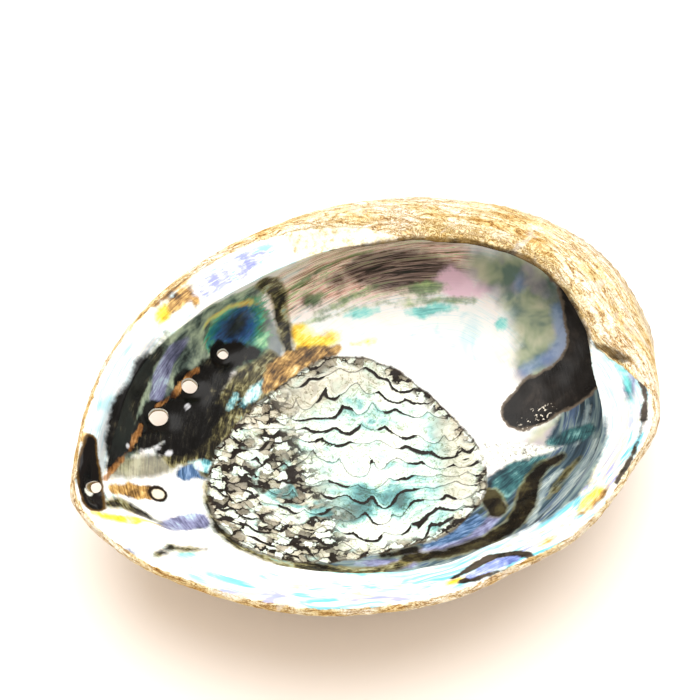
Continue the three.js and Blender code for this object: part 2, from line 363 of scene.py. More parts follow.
write_points(shell.data, place)
normal = read_points(shell.data, "normal")

# %% [markdown]
# ## Measures that follow the growth
# Nearly everything on a shell is laid down along its lip, so patterns are placed by two
# growth measures: how far a point is from the lip, and how old it is, which is how far it
# has been left behind as the lip moved away from the spire. Both are kept as attributes, so
# that materials can read them.

# %% Distance from the lip, and a helper for noise
from_lip = wall_length * np.abs(box[:, 2])
floor_length = np.where(on_floor, corner["turn"][:, 0], corner["back_turn"][:, 0]) * (1 - ring)
wall_at_turn = {}
for where, build in ((on_floor, inside_wall), (on_back, outside_wall)):
    picked = {name: value[where] for name, value in corner.items()}
    from_lip[where] = walk(build(picked), np.ones(where.sum()))[1] + floor_length[where]
inside = box[:, 2] > 1e-6
from_lip[inside] *= -1
ledge_reach = distance(corner["lip"], corner["ledge"])[:, 0]
print("from the lip, mm:", from_lip.min().round(), from_lip.max().round())


def ripple(points, size, seed=0.0, octaves=1):
    """Smooth noise, about -1 to 1, with swells about size millimetres apart."""
    shift = Vector((seed, -seed, 2 * seed))
    if octaves == 1:
        return np.array([noise.noise(Vector(p) / size + shift) for p in points])
    return np.array([noise.fractal(Vector(p) / size + shift, 0.9, 2.0, octaves) for p in points])


def step_up(value, low, high):
    t = np.clip((value - low) / (high - low), 0, 1)
    return t * t * (3 - 2 * t)


# %% Age, measured from the spire
SPIRE = np.array([54.0, 20.0])
lip_ring = np.linspace(-180, 180, 361)
lip_radius = measure_round(1, lip_ring) + measure_round(8, lip_ring)
lip_x = lip_radius * np.cos(np.radians(lip_ring)) - SPIRE[0]
lip_y = lip_radius * np.sin(np.radians(lip_ring)) - SPIRE[1]
lip_bearing = np.arctan2(lip_y, lip_x)
order = np.argsort(lip_bearing)
from_spire = place[:, :2] - SPIRE
bearing = np.arctan2(from_spire[:, 1], from_spire[:, 0])
lip_distance = np.interp(bearing, lip_bearing[order], np.hypot(lip_x, lip_y)[order], period=2 * np.pi)
age = np.hypot(from_spire[:, 0], from_spire[:, 1]) / lip_distance

# %% [markdown]
# ## Relief of the back
# The back carries the keel with its row of pore collars, a low spire, spiral cords that fan
# out from the spire, and growth lines across them. Real growth lines are uneven, so noise
# that is stretched along each line bends and breaks them.


# %% The keel and the pores
def nearest_on_line(points, line, steps=40):
    """Distance from each point to a line through some places, and how far along it."""
    line = np.array(line, float)
    best = np.full(len(points), 1e9)
    share = np.zeros(len(points))
    pieces = len(line) - 1
    for k in range(pieces):
        run = line[k + 1] - line[k]
        t = np.clip((points - line[k]) @ run / (run @ run), 0, 1)
        gap = np.linalg.norm(points - line[k] - t[:, None] * run, axis=1)
        closer = gap < best
        best = np.where(closer, gap, best)
        share = np.where(closer, (k + t) / pieces, share)
    return best, share


def swelling(gap, width):
    return np.exp(-(gap / width) ** 2)


KEEL_LINE = [(-72, 2), (-58.5, 13.5), (-48.5, 23), (-37.5, 31), (-25.5, 38.5), (-8, 45),
             (11, 48.5), (30, 46.5), (46, 38)]
# place in the bowl's wall, bore inside and outside, slope of the bore along X and Y
PORES = [
    ((-25.7, 38.5, 16.0), 1.7, 1.4, (0.10, 0.42)),
    ((-37.4, 31.1, 18.5), 2.5, 2.0, (0.08, 0.42)),
    ((-48.5, 23.1, 22.5), 2.9, 2.4, (0.06, 0.42)),
    ((-71.6, 3.4, 34.8), 1.9, 1.6, (0.20, 0.42)),
]

keel_gap, keel_share = nearest_on_line(place[:, :2], KEEL_LINE)
keel = swelling(keel_gap, 5.0) * (1 - step_up(keel_share, 0.55, 0.95))
pore_gap = np.min([np.hypot(*(place[:, :2] - at[:2]).T) - bore for at, bore, _, _ in PORES], axis=0)
spire = swelling(np.hypot(from_spire[:, 0], from_spire[:, 1]), 13.0) * step_up(np.abs(from_lip), 14, 34)

# %% Spiral cords and growth lines
cord_swing = ripple(place, 16, 3.1)
cords = np.sin(46 * bearing + 5.0 * age + 1.6 * cord_swing)
rough = ripple(place, 3.2, 1.7, 3)
growth_at = np.stack([120 * age, 4 * np.cos(bearing), 4 * np.sin(bearing)], -1)
growth = ripple(growth_at, 3.0, 5.0, 2)
settle = step_up(np.abs(from_lip), 0, 5)
back_relief = (
    settle * (2.2 * keel + 2.5 * spire)
    + 1.8 * swelling(np.maximum(pore_gap, 0), 2.4)
    + step_up(np.abs(from_lip), 10, 30) * (0.35 * cords * step_up(age, 0.25, 0.6) + 0.40 * growth)
    + 0.16 * rough)

# %% [markdown]
# ## Relief of the bowl
# Inside there is only a soft groove behind the keel, dimples round the pores and slow
# ripples. The lip's outer edge is chipped and wavy. The muscle scar is different: the
# animal's foot pulled there for years, and the shell filled it with overlapping terraces
# whose edges hang like rows of little scales towards the outer lip.

# %% The muscle scar's outline
SCAR_MIDDLE = np.array([-3.0, 0.0])
SCAR_RADIUS = 33.0
# each swell makes the outline longer by some millimetres towards one bearing; the last number
# is how many such swells there are round it
SCAR_SWELLS = [(3.5, -158, 1), (2.5, 0, 2), (3.0, 75, 3)]


def scar_reach(points):
    """How far inside the scar's rounded three-sided outline each point is, in millimetres."""
    offset = points - SCAR_MIDDLE
    bearing_here = np.arctan2(offset[:, 1], offset[:, 0])
    radius = SCAR_RADIUS + sum(
        length * np.cos(count * (bearing_here - math.radians(towards)))
        for length, towards, count in SCAR_SWELLS)
    return radius - np.hypot(offset[:, 0], offset[:, 1])


scar_wander = 0.8 * ripple(place, 4.0, 8.0) + 0.5 * ripple(place, 9.0, 2.5)
scar = np.where(inside, scar_reach(place[:, :2]) + scar_wander, -20)

# %% Terraces
TERRACE_DEPTH = 5.4     # from one terrace's edge to the next, in mm
SCALE_SIZE = 7.2        # width of the scales along an edge, in mm


def terrace_level(points):
    """Counts the terraces up the scar; every whole number is a terrace's front edge."""
    along = points[:, 0] * 0.93 - points[:, 1] * 0.36
    across = points[:, 0] * 0.36 + points[:, 1] * 0.93
    flat = np.stack([0.75 * along, across, np.zeros(len(points))], -1)
    bend = 5.0 * ripple(flat, 12, 4.4) + 2.0 * ripple(flat, 5.5, 6.1)
    smooth_level = (across * (1 + 0.0005 * along ** 2) + bend) / TERRACE_DEPTH
    row = np.round(smooth_level + 0.25)
    window = 1 - (2 * np.abs(smooth_level + 0.25 - row)) ** 4
    shift = 0.618 * SCALE_SIZE * row + 2.2 * ripple(flat, 8.0, 2.3)
    scallop = np.abs(np.sin(math.pi * (along + shift) / SCALE_SIZE))
    reach = np.clip(2.3 + 3.6 * ripple(flat, 9.0, 12.5), 0.2, 4.2)
    return smooth_level + window * reach * scallop / TERRACE_DEPTH


in_scar = scar > -3
terrace = np.zeros(len(place))
steepness = np.ones(len(place))
terrace[in_scar] = terrace_level(place[in_scar])
rises = [terrace_level(place[in_scar] + step) - terrace[in_scar] for step in ((0.6, 0, 0), (0, 0.6, 0))]
steepness[in_scar] = np.clip(np.hypot(*rises) / 0.6, 0.08, 0.7)
terrace_strength = step_up(ripple(place, 7, 9.7), -0.10, 0.16) * step_up(scar, 0, 3)
terrace_step = 1 - terrace % 1

# %% Push the surface in and out
inner_ripple = 0.35 * ripple(place, 14, 1.1) + 0.12 * ripple(place, 4, 7.7)
ledge_ripple = 0.24 * ripple(place, 7, 3.3) * swelling(from_lip + 0.6 * ledge_reach, 6)
scar_relief = step_up(scar, -1, 2) * (0.55 * terrace_strength * terrace_step + 0.25 * ripple(place, 1.8, 4.2))
bowl_relief = (
    -settle * 1.4 * keel
    - 0.7 * swelling(np.maximum(pore_gap, 0), 1.8)
    + settle * inner_ripple
    + ledge_ripple
    + np.where(inside, scar_relief, 0))
chips = 0.30 * ripple(place, 2.6, 6.6, 2) * swelling(from_lip, 2.5)
relief = np.where(inside, bowl_relief, back_relief) + chips
formed = place + relief[:, None] * normal
write_points(shell.data, formed)
bpy.ops.object.shade_smooth()
print("relief, mm:", relief.min().round(2), "to", relief.max().round(2))

# %% [markdown]
# ## Where each layer shows
# Nacre, horny brown layer, slate and mauve pearl meet along sharp but wandering borders.
# A picture could be painted for them. Instead each layer gets a field in millimetres, more
# than 0 where the layer shows, from a few ovals and strokes laid along its places. The material adds
# fine noise to the field before it cuts it, so borders stay sharp at any size.


# %% Ovals and strokes
def oval(at, size, turn=0.0):
    """More than 0 inside an oval lying on the surface, falling off in millimetres."""
    offset = place - at
    c, s = math.cos(math.radians(turn)), math.sin(math.radians(turn))
    along = offset[:, 0] * c + offset[:, 1] * s
    across = np.hypot(-offset[:, 0] * s + offset[:, 1] * c, offset[:, 2])
    return (1 - np.hypot(along / size[0], across / size[1])) * min(size)


def stroke(width, *line):
    """More than 0 within a width of a line of places; widths may change along it."""
    gap, share = nearest_on_line(place, line)
    widths = np.atleast_1d(width).astype(float)
    return np.interp(share, np.linspace(0, 1, len(widths)), widths) - gap


def field(name, *shapes):
    """Keeps the union of some shapes as an attribute, inside the bowl only."""
    value = np.where(from_lip < 1.5, np.max(shapes, axis=0), -20)
    fields[name] = np.clip(value, -20, 20)


fields = {
    "from_lip": from_lip,
    "scar": scar,
    "terrace": terrace,
    "terrace_strength": terrace_strength,
    "steepness": steepness,
    "age": age,
}

# %% The pearl of the far wall, under the ledge
field("mauve",
      stroke([3, 5, 6, 6, 5], (-4, 50.5, 27), (4, 52, 28), (14, 52, 28), (24, 49, 27), (33, 45, 26)),
      stroke([5, 7, 9, 9, 8, 5], (-3, 47, 17), (5, 49, 18), (15, 49, 18), (25, 47, 18), (34, 44, 17), (43, 41, 18)))
field("mauve_shadow",
      stroke([1, 5, 6, 5, 3], (12, 49, 16), (19, 49, 16), (26, 47, 15), (34, 44, 15), (41, 39, 15)),
      stroke([1, 4, 5, 5], (16, 48, 27), (26, 45, 26), (36, 42, 26), (46, 38, 26)),
      oval((2.5, 47, 13), (2.6, 1.8)), oval((12, 49, 15), (3, 2.2)), oval((21, 49, 15.5), (3, 2)))
field("green",
      stroke(0.7, (-1, 49, 17), (7, 51, 19), (15, 51, 21), (22, 50, 21)),
      stroke(0.5, (1, 48, 15), (9, 50, 17), (17, 50, 19)),
      oval((33, 39.5, 12), (6, 1.8), -15), oval((4, 47, 13), (3, 1.6), 20), oval((14, 44.5, 12), (6, 1.0), 5),
      oval((8, 43.5, 12), (4, 1.0), 0), stroke(0.45, (-2, 42, 11), (10, 41.5, 11), (21, 40, 11), (32, 37, 11)),
      stroke(0.8, (24, 38, 11), (36, 35, 11), (44, 31, 11)))
field("cyan",
      stroke([0.6, 1.4, 0.8], (10, 40.5, 10), (14, 40, 10), (19, 39, 10)),
      stroke([0.6, 1.5, 1.5, 0.6], (26, 35.5, 10), (30, 34, 10), (35, 33, 11), (39, 31, 11)),
      oval((48, 22, 11), (2.5, 1.5), 50), oval((-56, -22, 33.5), (7, 1.3), 12),
      oval((5, 45.2, 37), (4.2, 0.8), 0), oval((17, 44, 35.5), (3.2, 0.7), -20),
      stroke([0.4, 0.9, 0.6], (-70, -8, 36.5), (-64, -14, 37), (-58, -20, 36)),
      stroke([0.3, 0.8, 0.8, 0.3], (-40, -36, 36), (-32, -40, 36), (-22, -44, 36), (-10, -48, 36)),
      stroke([0.3, 0.7, 0.3], (-28, -37, 31), (-18, -42, 32), (-6, -46, 32)),
      stroke([0.3, 0.6, 0.3], (24, -47, 34), (34, -44, 35), (44, -38, 35)),
      stroke([0.3, 0.8, 0.5, 0.3], (61, -11, 37), (62.5, -17, 37), (61, -24, 37), (57, -31, 36.5)),
      oval((-22, 29, 10), (5.5, 1.5), 38), oval((-19, 26, 9), (3, 1.0), 30),
      stroke([0.5, 1.5, 1.5, 1.2], (-33, -33, 25), (-25, -38, 27), (-12, -43, 28), (4, -46, 29)))
field("pink_gleam", oval((41, 37, 13.5), (5.5, 3.8), -40), oval((47, 33, 14), (3, 2), 0))

# %% The pastel pearl, the painted shade under the ledge above it, and the charcoal patch at the old end
field("pastel",
      stroke([4, 7, 9, 9, 7], (48, 38, 18), (55, 31, 17), (58, 22, 16), (58, 14, 14), (52, 7, 11)),
      stroke([2.5, 3.6, 4.2], (39, -14.5, 9), (47, -13.5, 11), (58, -11, 15)))
# painted shade: a dark grey-blue band under the overhanging ledge
field("pastel_painted_shade",
      stroke([1.5, 3.5, 4.5, 4, 3], (44, 38, 22), (51, 34, 24), (57, 27, 22), (61, 22, 20), (63, 16, 18)))
field("pastel_blue",
      stroke([1.5, 2.2, 2.2, 1.5], (62, 18, 16), (61, 10, 15), (56, 7, 13), (48, 7, 10)),
      oval((56, 29, 16), (3, 1.6), 60))
field("charcoal",
      stroke([5.5, 7.2, 7.4, 7.6, 6.5], (42, -3.5, 9), (46, -3, 10), (52, -2.5, 12), (58, -2, 15), (64, 2, 18)),
      stroke([6.5, 6, 5.6, 5.6, 4], (63, 1, 17), (67, 9, 19), (68, 18, 21), (67, 26, 23), (63, 33, 25)))
field("charcoal_specks", oval((45, -7, 10), (6.5, 3.0), 5))

# %% The dark wall beside the pores
field("dusk",
      stroke([5, 7, 8, 8, 7, 5], (-62, 13, 29), (-55, 24, 28), (-45, 33, 27), (-33, 40, 27), (-21, 44, 26), (-13, 45, 25)),
      stroke([6, 6, 5, 3], (-24, 41, 18), (-15, 43, 15), (-13, 39, 12), (-15, 35, 11)),
      stroke([4, 5, 5, 4, 3], (-46, 26, 22), (-36, 33, 19), (-28, 38, 18), (-19, 37, 13), (-13, 36, 11)))
field("lavender",
      stroke([2.6, 3.8, 3.4, 2.0], (-46.5, 27.5, 24), (-44, 32, 26), (-40, 36, 28), (-36, 38.5, 28)),
      oval((-39, 12, 13), (4.2, 2.6), 15), stroke([1.6, 2.8, 2.6], (-60, -9.5, 28), (-54, -7, 22), (-48, -6.5, 17)),
      stroke([1.2, 1.9, 1.5, 1.9, 1.2], (-2, -31, 11), (6, -35, 12), (14, -35, 12), (22, -31.5, 11), (25.5, -27.5, 10)),
      stroke([1.2, 2.0, 1.6], (-16, -30.5, 11), (-10, -32, 11), (-3, -35.5, 13)),
      oval((-69, -18, 37), (2.2, 0.9), -50), oval((10, -54.3, 37.6), (6.5, 1.4), 6),
      oval((62, -21, 36.5), (1.4, 4), -15))
field("olive_haze",
      stroke([1.5, 2.6, 3.2, 3.0], (-66, 7, 31), (-62, 9, 28), (-56, 10, 24), (-50, 11, 20)))
field("olive",
      stroke([3.0, 3.6, 3.6, 3.0, 2.0], (-41, 9, 13), (-35, 15, 12), (-27, 20, 10), (-19, 24, 9), (-13, 29, 9)),
      stroke([2.5, 4.2, 5.2, 5.2, 4.2, 2.6], (-49, 12, 19), (-42, 15, 15), (-35, 19, 13), (-28, 25, 12),
             (-21, 31, 11), (-14, 35, 10)),
      stroke([2.2, 2.6, 2.2, 1.9, 1.9, 1.5], (-11, 46.5, 30), (-7, 47.5, 23), (-5, 48, 17), (-6.5, 43.5, 13),
             (-7.5, 39, 11), (-8, 35, 9.5)),
      stroke([3.4, 5.2, 3.8, 2.0, 2.0, 2.4, 2.0, 1.8, 1.6], (-41.5, 2.5, 12), (-41, -4, 13), (-42.5, -10, 16),
             (-41, -16, 17), (-36.5, -21, 16), (-30, -26, 15), (-22, -31, 14), (-13, -34, 13), (-4, -35, 12)),
      stroke([0.8, 2.4, 2.2, 1.0], (-70, -1, 34), (-66, -1.5, 30), (-62, -4, 27), (-58, -6.5, 25)),
      stroke([1.0, 1.5, 1.3, 0.7], (-63, -20.5, 36), (-59, -19, 33), (-55, -20, 32), (-51, -21, 31)))
field("bark",
      stroke([2.0, 2.4, 2.7, 2.9, 3.2, 2.9, 2.4, 2.0, 1.2], (-3, -33.5, 11), (6, -37, 12), (17, -38, 13),
             (25, -36, 14), (30, -32, 14), (33, -28, 12), (36.5, -24.5, 11), (40, -22.5, 11), (45, -22, 13)),
      stroke([2.8, 2.6], (24.5, -24, 9), (24, -29, 11)),
      stroke(1.6, (-8, -30, 10), (0, -31.5, 10)),
      stroke([0.4, 1.0, 1.0, 0.4], (36, -33, 15), (40, -30, 15), (44, -27.5, 15), (49, -25, 16)))
field("horn",
      stroke([2.2, 4.2, 5.2, 4.6, 3.4, 1.2], (-64, 9, 32), (-61.5, 14, 31), (-58, 20.5, 31), (-53, 27, 31),
             (-47, 33.5, 32), (-40, 39, 33.5)),
      stroke([2.6, 4.2, 5.2, 5.2, 5.0, 4.6, 3.4], (-58, 15, 28), (-53, 19, 24), (-47, 22, 21), (-42, 24.5, 18),
             (-37, 28, 16), (-31, 33, 15), (-25, 37, 14)),
      stroke([2.2, 4.0, 4.2, 2.6], (-51, 14, 20), (-45, 16.5, 17), (-39, 20, 15), (-33, 24, 13)),
      stroke([2.6, 2.6], (-22, 37, 13), (-17.5, 38, 12)))

# %% The slate pearl of the near wall
field("slate",
      stroke([1.0, 2.4, 3.0, 2.2, 0.6], (27, -45, 32), (37, -41, 32), (46, -34, 31), (53, -26.5, 31), (57, -20, 30)),
      stroke([4, 5, 6, 6, 6, 6, 5], (-41, -4, 13), (-36, -17, 13), (-27, -25, 12), (-14, -31, 11), (2, -32, 10), (18, -29, 10), (29, -22, 9)),
      stroke([1.5, 3.5, 5, 7, 8, 9, 9, 8, 6], (-35, -25, 15), (-24, -31, 14), (-12, -35, 14), (4, -38, 15),
             (18, -38, 16), (32, -33, 15), (44, -26, 15), (52, -18, 15), (57, -10, 16)),
      stroke([1, 2.5, 4, 5, 5, 5, 4], (-5, -43, 26), (9, -46, 27), (19, -47, 28), (32, -43, 27), (42, -36, 26),
             (51, -27, 25), (58, -15, 23)))
field("slate_light",
      stroke([0.6, 1.5, 1.7, 1.3, 0.6], (24, -42, 22), (30, -36, 16), (34, -31.5, 14), (38, -28, 13), (43, -26, 14)),
      stroke([0.6, 1.3, 1.5, 1.4, 1.4, 0.8], (12, -44, 24), (22, -43, 22), (31, -39, 20), (38, -35, 18),
             (45, -31, 17), (54, -23, 17)),
      stroke([0.4, 1.2, 1.3, 1.0], (-20, -33, 14), (-6, -38, 15), (8, -40.5, 16), (22, -41, 18)),
      stroke([0.4, 1.0, 0.8], (48, -22, 14), (53, -18, 15), (57, -12, 16)))
field("blue",
      stroke([1.4, 2.2, 2.2, 1.4], (-40, -10, 14), (-38, -16, 14), (-32, -21, 13), (-25, -26, 12)),
      stroke([1.4, 2.6, 2.2], (4, -32, 11), (11, -31.5, 10), (18, -29.5, 10)),
      stroke([1.4, 2.6, 3.0, 2.4], (40, -38, 26), (48, -31, 24), (55, -22, 22), (58, -12, 20)),
      stroke([1.8, 2.8, 2.2], (-48, 8, 17), (-43.5, 9, 14), (-39.5, 6.5, 12)),
      stroke([1.2, 1.8, 1.5], (-59, -9, 27), (-53, -6, 21), (-48, -6.5, 17)))
field("teal",
      stroke([3.0, 4.4, 4.0, 2.5], (27, -25, 9), (31, -21, 9), (35.5, -19.5, 10), (40, -19, 11)),
      stroke([1.6, 2.8, 2.2], (45, -16.5, 12), (49, -17.5, 13), (54, -19, 15)),
      stroke([1.5, 2.6, 2.4, 2.0], (-12.5, 43, 17), (-14.5, 40, 13), (-17.5, 36, 12), (-21, 33, 12)))

# %% Amber, rope and the marks on the ledge
field("amber",
      oval((-3, 39, 11), (3.6, 3.2), -30), oval((1, 36, 9), (6, 2.4), 0), oval((-4, 35.5, 9), (3.5, 2.0), 10), oval((-39, 43, 37), (3.6, 1.7), 40),
      oval((39, -46, 36.5), (4.6, 2.3), 22), oval((0, -54, 37), (2.2, 1.0), 10),
      stroke([0.9, 1.4, 1.3, 0.7], (-73, -4, 36), (-69, -6, 34), (-65, -7.5, 32), (-59, -9, 27)),
      stroke(0.5, (9, 33, 7), (15, 32, 7)))
field("umber",
      stroke([1.6, 2.8, 2.6, 1.2], (-15, 26.5, 9), (-8, 30, 8), (-1, 32, 8), (5, 33, 8)),
      stroke([1.4, 3.0, 2.8, 1.8, 0.8], (-18, 27.5, 10), (-13, 31.5, 9), (-8, 33.5, 9), (-2, 34, 9), (4, 33.5, 8)),
      oval((-30, 44.5, 36), (2.3, 1.2), 80), oval((-33.5, 45.5, 37), (4.6, 2.3), 25), oval((24.5, -53, 37.5), (2.8, 1.2), 15),
      stroke([0.6, 1.2, 0.8, 0.6], (34, -49, 37), (38, -48.3, 37.5), (42, -46.6, 37.8), (45, -44, 38)),
      stroke([0.5, 1.3, 0.8, 0.4], (-41, 45, 38), (-34, 48.5, 38.3), (-27, 51.5, 38.6), (-20, 53.5, 38.8)),
      stroke([1.4, 2.2, 2.0], (-66, 3.2, 31), (-62, 3.2, 26.5), (-57.5, 3, 22.5)),
      stroke([1.6, 1.4], (-69.5, 16, 36.5), (-68, 13.5, 36)))
field("rope",
      stroke([0.9, 0.9, 0.7], (-67, 5.5, 33), (-59.5, 13, 27), (-53, 20, 25.5)),
      stroke([0.5, 0.6, 0.5], (-47, 25.5, 23), (-42, 28, 21), (-33, 35, 18)))
field("ledge_mark",
      stroke([0.6, 1.5, 1.9, 1.4, 1.6, 1.2], (0, -52.5, 36), (5, -51.3, 35.3), (10, -50.6, 34.8), (14, -51.5, 35.5),
             (17, -53.8, 37), (19, -55, 38)),
      stroke([1.0, 1.4, 0.6, 0.3], (1.5, -54.8, 37.8), (4.5, -55.2, 37.9), (9, -56.2, 38.2), (14, -56.4, 38.2)),
      stroke([1.3, 1.0, 0.6, 0.9, 0.5, 1.1, 0.8], (65.5, -14, 38), (65.5, -20, 38), (64, -26, 38), (61, -31, 38),
             (57, -36, 38), (52, -41, 38), (47, -45, 38)),
      stroke([0.4, 0.8, 0.5], (9, 45, 36.5), (12, 45, 36), (15, 45, 35.5)))
field("highlight",
      stroke([0.6, 1.7, 1.3, 0.5], (-25.5, 24.5, 10.5), (-22, 27, 10), (-18.5, 29, 9.5), (-16, 30.5, 9)),
      stroke([0.6, 1.9, 1.3], (-46, 11, 15.5), (-41.5, 9.5, 13.5), (-38.5, 8, 12)),
      stroke([0.4, 0.9, 0.4], (-31, 23.5, 12), (-28.5, 25.5, 12), (-26, 27.5, 12)))
field("peacock_green",
      stroke([0.8, 1.7, 1.9, 1.6, 0.9], (-14, 45, 22), (-12.6, 43, 18), (-13, 40.5, 14.5), (-15.5, 38, 12.5), (-19, 36, 12)))
field("ledge_pale", stroke([2.6, 3.2, 3.0, 1.5], (-26, 46, 37), (-20, 48, 37.5), (-13, 49.5, 38), (-7, 50.5, 38)))
field("ledge_blue",
      stroke([1.0, 1.9, 2.1, 1.2], (4, -54, 37.3), (8, -53.8, 37.2), (12, -53.8, 37.2), (15.5, -54.6, 37.8)))
# painted shade: soft grey strips near the ledge's inner edges and on the wall below them
field("grey_painted_shade",
      stroke([1.4, 2.4, 2.6, 2.4], (-11, 45, 24), (-9.5, 43, 16), (-10.5, 39, 11), (-13, 36, 10)),
      stroke([1.2, 1.8, 1.6, 1.2, 0.8], (-67, 8, 34), (-64.5, 15, 34.5), (-60, 22, 35), (-52, 30, 35.3), (-44, 37, 35.5)),
      stroke([0.4, 1.4, 1.8, 1.4], (40, -39, 31), (49, -32, 30), (56, -22, 29), (57.5, -12, 29)))

# %% Round the pores
field("pore_dark", oval((-23, 38, 14.5), (5.0, 3.0), 15), oval((-35, 29, 16), (4.5, 2.2), 30),
      *[oval(at, (bore + 1.6, bore + 1.6)) for at, bore, _, _ in PORES[:3]])
field("tail", stroke([4.2, 2.8, 1.4, 0.1], (31, -11.5, 7), (37, -14.5, 9), (42, -17.5, 11), (47, -19.5, 13)))
inner_edge_azimuth = (azimuth + 180) % 360 - 180
edge_width = np.interp(inner_edge_azimuth, [-14, -6, 4, 20, 40, 66, 80, 86], [-4, 0.6, 1.0, 1.1, 1.5, 1.3, 0.6, -4])
# painted shadow along the crust's overhanging inner edge; the second stroke is a real dark brown lobe at the lower end
# of the roll
field("crust_shadow_and_lobe", edge_width - np.abs(from_lip + ledge_reach),
      stroke([0.5, 1.1, 1.2, 0.6], (58, -6, 37.5), (61, -10, 38), (64, -14.5, 38), (67, -18, 37.5)))
gold_azimuth = step_up(inner_edge_azimuth, 8, 20) * (1 - step_up(inner_edge_azimuth, 52, 62))
fields["gold"] = np.where(gold_azimuth > 0, 3.4 * gold_azimuth - np.abs(from_lip + 0.7 * ledge_reach), -20)
field("scar_teal", stroke([3, 6, 6.5, 4], (-24, -2, 8), (-16, -7, 7), (-8, -11, 7), (2, -14, 7)))
field("scar_beige",
      stroke([3, 5, 5, 3], (-24, 20, 8), (-12, 22, 8), (2, 24, 8), (14, 20, 8)), stroke([4, 5, 4], (25, 4, 6), (24, -6, 6), (18, -18, 7)))
field("bump_gleam", oval((-51, 15, 21.5), (1.0, 0.7)), oval((-49, 13.5, 19.5), (1.8, 0.9), 20),
      oval((-39.5, 25.5, 18), (1.2, 0.6), 40), oval((-58, 14.5, 28), (0.9, 0.7)))
field("peacock", oval((-19.5, 42.5, 18.5), (11, 8.8), 18))
field("peacock_arc", stroke([0.3, 0.9, 1.1, 0.8, 0.3], (-30, 39, 25), (-27, 42, 27), (-21, 44, 27), (-15, 45.5, 23), (-11, 46, 19)))
field("black_gloss", stroke([1.8, 3.1, 3.9, 3.4], (-68, 15, 36), (-70, 10, 35.5), (-71, 5, 35), (-72, 0, 35)))
field("blister", oval((-56, 2.6, 21), (2.1, 1.5)))
field("blister_ring", oval((-56, 2.6, 21), (3.1, 2.5)))
field("white_tip", oval((-71.5, 3.2, 34.8), (1.8, 1.2), 20))

# %% Where the limy crust begins, and the cream callus before it
crust_share = np.interp(
    azimuth_deg := (azimuth + 180) % 360 - 180,
    [-180, -20, -14, -6, 0, 56, 60, 68, 90, 100, 130, 180],
    [0.0, 0.0, 0.3, 0.9, 1.3, 1.3, 0.75, 0.45, 0.16, 0.10, 0.06, 0.0])
fields["crust"] = from_lip + crust_share * ledge_reach - 0.3
callus_share = step_up(azimuth_deg, 52, 60) * (1 - step_up(azimuth_deg, 88, 96))
fields["callus"] = np.where(inside & (from_lip > -ledge_reach - 0.5), 8 * (callus_share - 0.5), -20)

# %% Keep the fields on the mesh
flow = np.stack([
    30 * np.cos(angle), 30 * np.sin(angle), 5 * from_lip], -1)


def keep_fields(mesh, rows):
    for name, value in fields.items():
        attribute = mesh.attributes.new(name, "FLOAT", "POINT")
        attribute.data.foreach_set("value", value[rows].astype(np.float32))
    attribute = mesh.attributes.new("flow", "FLOAT_VECTOR", "POINT")
    attribute.data.foreach_set("vector", flow[rows].astype(np.float32).ravel())


# %% [markdown]
# ## Open pores, front notch and worn flat
# The animal breathed through the last three pores. They are real holes with smooth, tapering
# bores, so each is cut with a tapered plug by a Boolean modifier. The flat that the shell
# rests on is cut with a bisect, and its hole is filled.


# %% Cut the pores
def bore_plug(number, at, inner, outer, slope):
    """A tapered plug that stands through the wall; its outline is a little uneven."""
    bpy.ops.object.select_all(action="DESELECT")
    bpy.ops.mesh.primitive_cone_add(vertices=28, radius1=outer, radius2=inner, depth=24)
    plug = bpy.context.object
    plug.name = f"plug_{number}"
    for vertex in plug.data.vertices:
        x, y, z = vertex.co
        uneven = 1 + 0.13 * noise.noise(Vector((x, y, 9.0 * number)) * 0.6)
        spot = Vector((
            x * uneven - slope[0] * z + at[0] + seat[0],
            y * uneven - slope[1] * z + at[1] + seat[1],
            z + at[2] + seat[2]))
        vertex.co = spot * MM
    return plug


def cut_with(piece, plug):
    bpy.ops.object.select_all(action="DESELECT")
    piece.select_set(True)
    bpy.context.view_layer.objects.active = piece
    cut = piece.modifiers.new("cut", "BOOLEAN")
    cut.operation = "DIFFERENCE"
    cut.solver = "EXACT"
    cut.object = plug
    bpy.ops.object.modifier_apply(modifier="cut")
    bpy.data.objects.remove(plug)


for number, (at, inner, outer, slope) in enumerate(PORES):
    cut_with(shell, bore_plug(number, at, inner, outer, slope))

# %% Wear the flat
bpy.ops.object.mode_set(mode="EDIT")
bpy.ops.mesh.select_all(action="SELECT")
bpy.ops.mesh.bisect(plane_co=(0, 0, 0), plane_no=(0, 0, 1), use_fill=True, clear_inner=True, threshold=1e-7)
bpy.ops.mesh.select_all(action="SELECT")
bpy.ops.mesh.remove_doubles(threshold=1e-6)
bpy.ops.object.mode_set(mode="OBJECT")

tree = kdtree.KDTree(len(formed))
for index, point in enumerate((formed + seat) * MM):
    tree.insert(point, index)
tree.balance()
nearest = np.array([tree.find(vertex.co)[1] for vertex in shell.data.vertices])
keep_fields(shell.data, nearest)
edge_uses = np.zeros(len(shell.data.edges), int)
np.add.at(edge_uses, [loop.edge_index for loop in shell.data.loops], 1)
print("triangles:", sum(len(face.vertices) - 2 for face in shell.data.polygons))
print("open edges:", (edge_uses != 2).sum())

# %% [markdown]
# ## The surface
# Nacre is layered aragonite: hard, smooth and glossy, nearly white where it is thick, with
# tints that drift from cyan to rose. The other finishes lie over it, each cut out by its own
# field. All of it is one shader, because on the real shell it is one surface.

# %% Start the material
pearl, tree_of = new_material("abalone_nacre_and_crust")


def node(kind, inputs=None, **settings):
    return add_node(tree_of, kind, inputs, **settings)


def read(name):
    return node("ShaderNodeAttribute", attribute_name=name).outputs["Fac"]


def maths(operation, a, b=0.0, c=0.0):
    return node("ShaderNodeMath", {0: a, 1: b, 2: c}, operation=operation).outputs[0]


